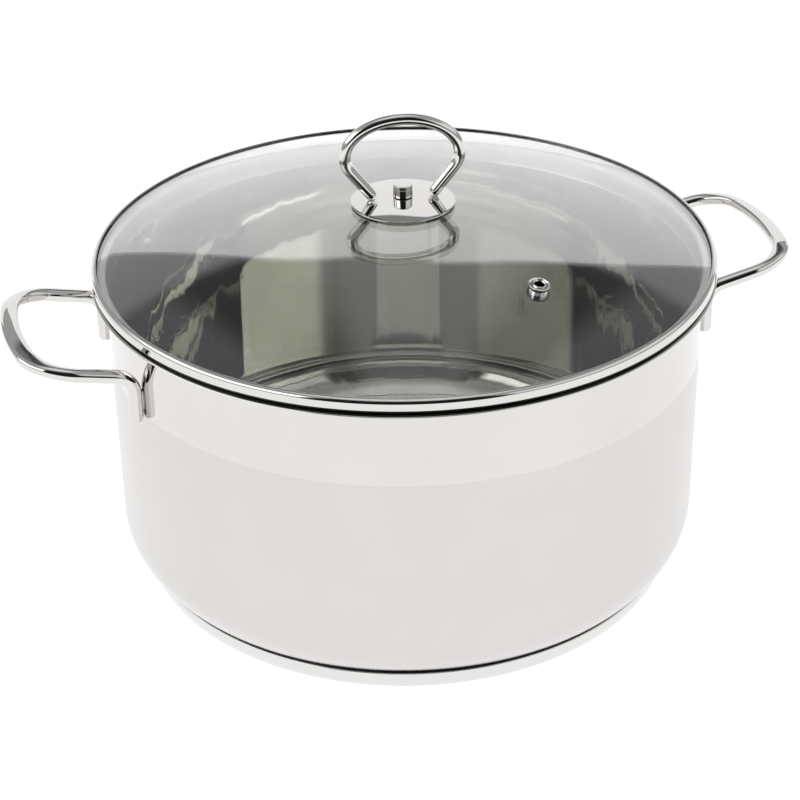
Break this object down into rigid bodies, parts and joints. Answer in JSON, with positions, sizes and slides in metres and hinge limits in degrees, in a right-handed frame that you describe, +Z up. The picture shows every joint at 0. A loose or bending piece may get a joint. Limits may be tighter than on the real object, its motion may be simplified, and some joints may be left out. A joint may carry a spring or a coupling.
{
  "type": "stock pot with glass lid",
  "caption": "Low steel stock pot with an encapsulated base and bent-rod side handles, and a domed glass lid with a steel band, a wire-loop knob and a steam vent.",
  "frame": {"origin": "Centre of the base's underside, where the pot stands on the hob.", "axes": "+Z is up, along the pot's axis. The side handles lie along X, the right one on +X, and -Y is the side with the vent, towards the viewer."},
  "size_m": [0.3806, 0.294, 0.2284],
  "materials": {
    "polished_steel": "mirror-polished stainless steel",
    "satin_steel": "satin stainless steel",
    "core_aluminium": "plain, enclosed in the base",
    "lid_glass": "clear tempered glass",
    "silicone": "matte dark silicone"
  },
  "bodies": {
    "pot": {"pot_body": "polished_steel", "base_core": "core_aluminium", "base_capsule": "satin_steel", "right_handle": "polished_steel", "left_handle": "polished_steel"},
    "lid": {"lid_glass": "lid_glass", "lid_band": "polished_steel", "knob_plate": "polished_steel", "knob_loop": "polished_steel", "knob_nut": "polished_steel", "knob_screw": "satin_steel", "knob_washer": "satin_steel", "knob_gasket_upper": "silicone", "knob_gasket_lower": "silicone", "vent_eyelet": "polished_steel", "vent_gasket": "silicone", "vent_collar": "polished_steel"}
  },
  "joints": [
    {"name": "lid_lift", "type": "slide", "parent": "pot", "child": "lid", "axis": [0, 0, 1], "range_m": [0, 0.2]}
  ]
}
